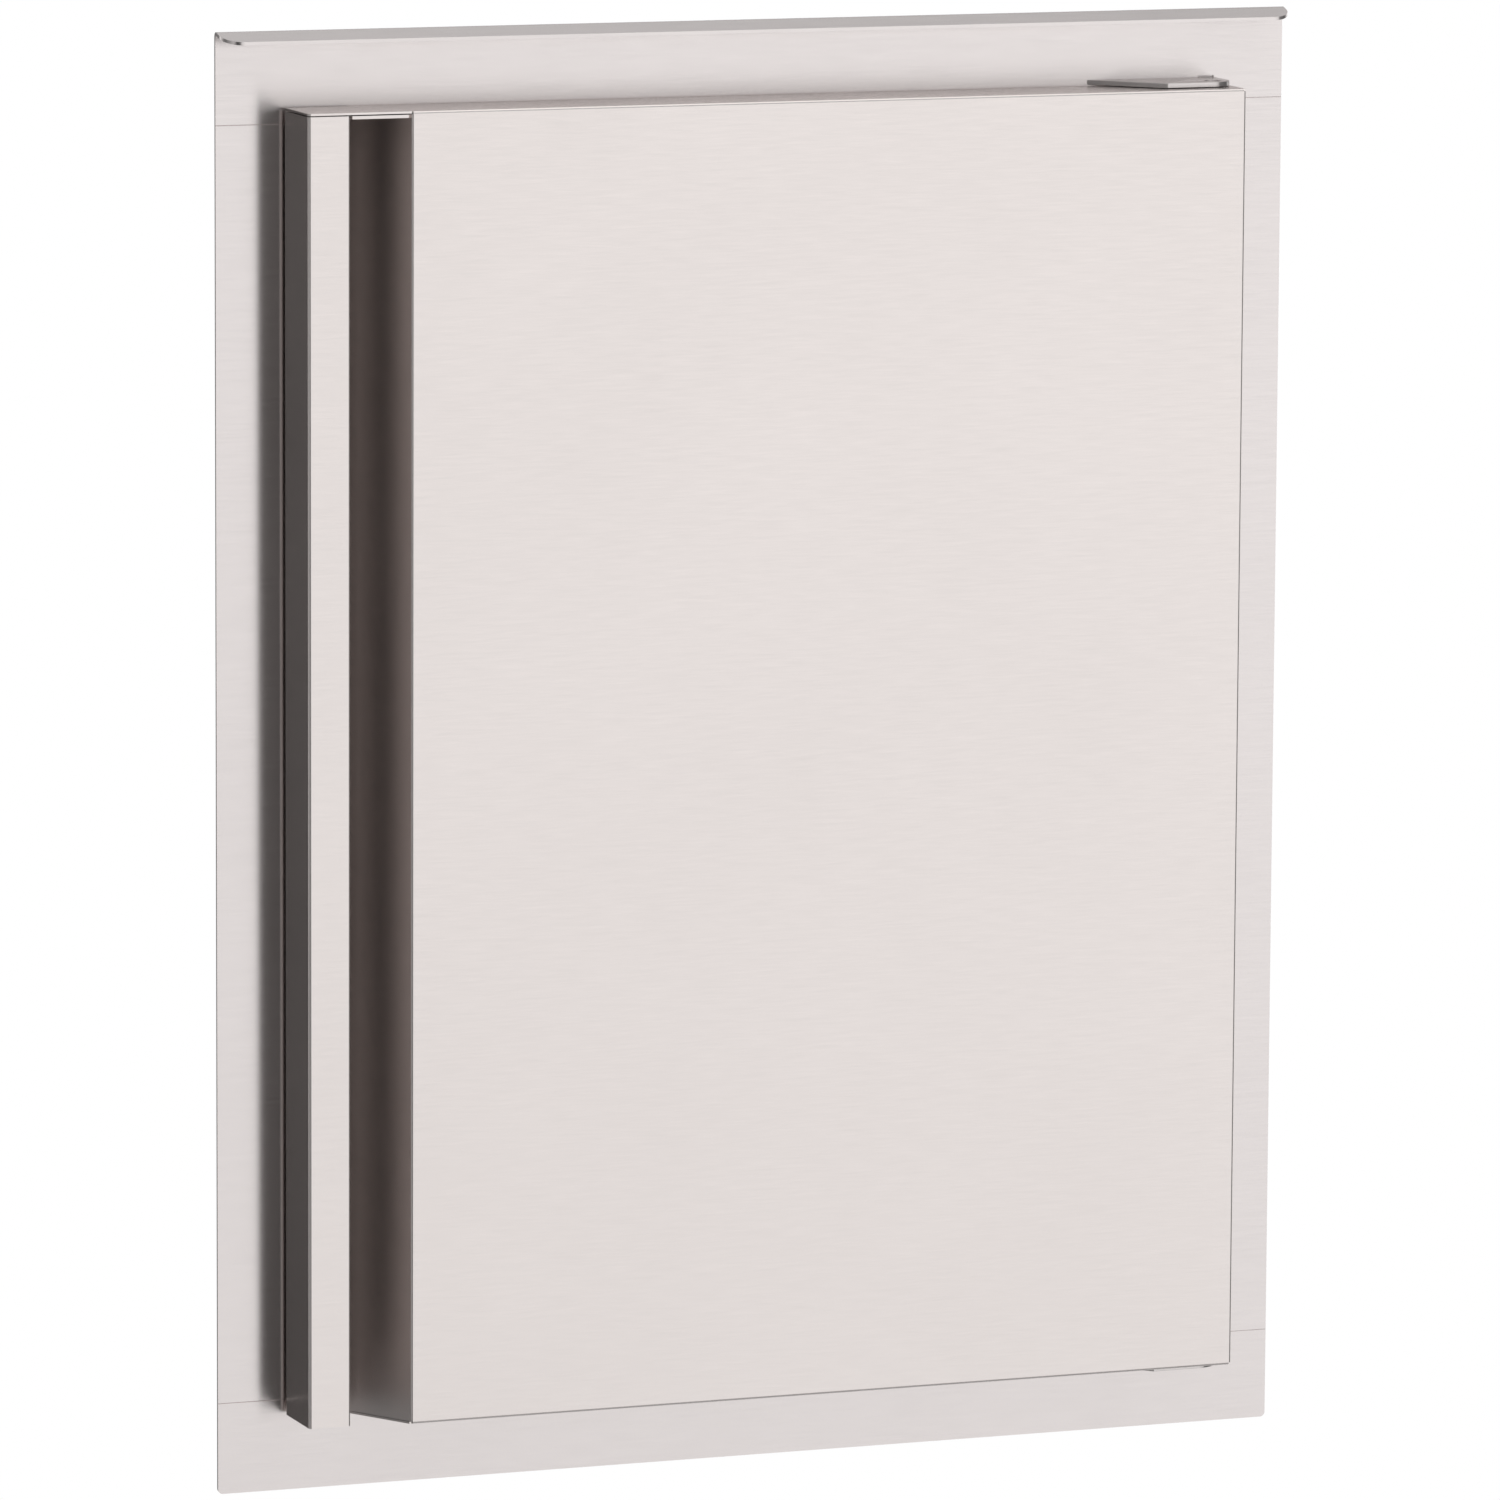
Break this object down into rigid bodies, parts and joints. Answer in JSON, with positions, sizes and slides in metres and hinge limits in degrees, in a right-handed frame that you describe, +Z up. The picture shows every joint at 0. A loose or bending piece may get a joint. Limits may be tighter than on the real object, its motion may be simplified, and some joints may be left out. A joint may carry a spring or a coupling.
{
  "type": "access door",
  "caption": "Right-hinged overlay access door in a flat flanged frame with a rain lip and sleeve, with a full-height pull folded into its free edge.",
  "frame": {"origin": "centre of the wall's cut-out, in the plane of the wall's face, which is the back of the frame's flange", "axes": "+X to the right seen from the front, +Y into the wall, +Z up"},
  "size_m": [0.44, 0.0707, 0.5654],
  "materials": {
    "frame_steel": "satin",
    "door_steel": "satin",
    "hinge_steel": "satin",
    "inner_steel": "mill finish",
    "pin_steel": "ground",
    "spring_steel": "drawn wire",
    "strike_steel": "zinc plated",
    "screw_steel": "bright zinc",
    "bush_plastic": "moulded",
    "case_plastic": "moulded",
    "magnet_ferrite": "sintered",
    "black_rubber": "soft"
  },
  "bodies": {
    "frame": {"frame_top_rail": "frame_steel", "frame_bottom_rail": "frame_steel", "frame_left_stile": "frame_steel", "frame_right_stile": "frame_steel", "top_hinge_plate": "hinge_steel", "bottom_hinge_plate": "hinge_steel", "lower_pivot_pin": "pin_steel", "pivot_washer": "bush_plastic", "top_catch_case": "case_plastic", "bottom_catch_case": "case_plastic", "top_catch_magnet": "magnet_ferrite", "bottom_catch_magnet": "magnet_ferrite", "top_catch_poles": "strike_steel", "bottom_catch_poles": "strike_steel", "catch_screws": "screw_steel", "catch_nuts": "screw_steel"},
    "door": {"door_skin": "door_steel", "door_liner": "inner_steel", "pull_top_cap": "door_steel", "top_pin_bracket": "inner_steel", "bottom_pivot_bracket": "inner_steel", "top_pivot_bush": "bush_plastic", "bottom_pivot_bush": "bush_plastic", "door_bumpers": "black_rubber", "top_strike_plate": "strike_steel", "bottom_strike_plate": "strike_steel", "strike_rivets": "screw_steel", "pin_spring": "spring_steel"},
    "top_pin": {"top_spring_pin": "pin_steel", "pull_down_cross_pin": "spring_steel", "spring_washer": "strike_steel"}
  },
  "joints": [
    {"name": "door_swing", "type": "hinge", "parent": "frame", "child": "door", "pos_m": [0.18313, -0.01854, 0], "axis": [0, 0, 1], "range_deg": [0, 180]},
    {"name": "top_pin_slide", "type": "slide", "parent": "door", "child": "top_pin", "axis": [0, 0, -1], "range_m": [0, 0.005], "stiffness_N_per_m": 2700, "springref_m": -0.003, "deforming": ["pin_spring"]}
  ]
}
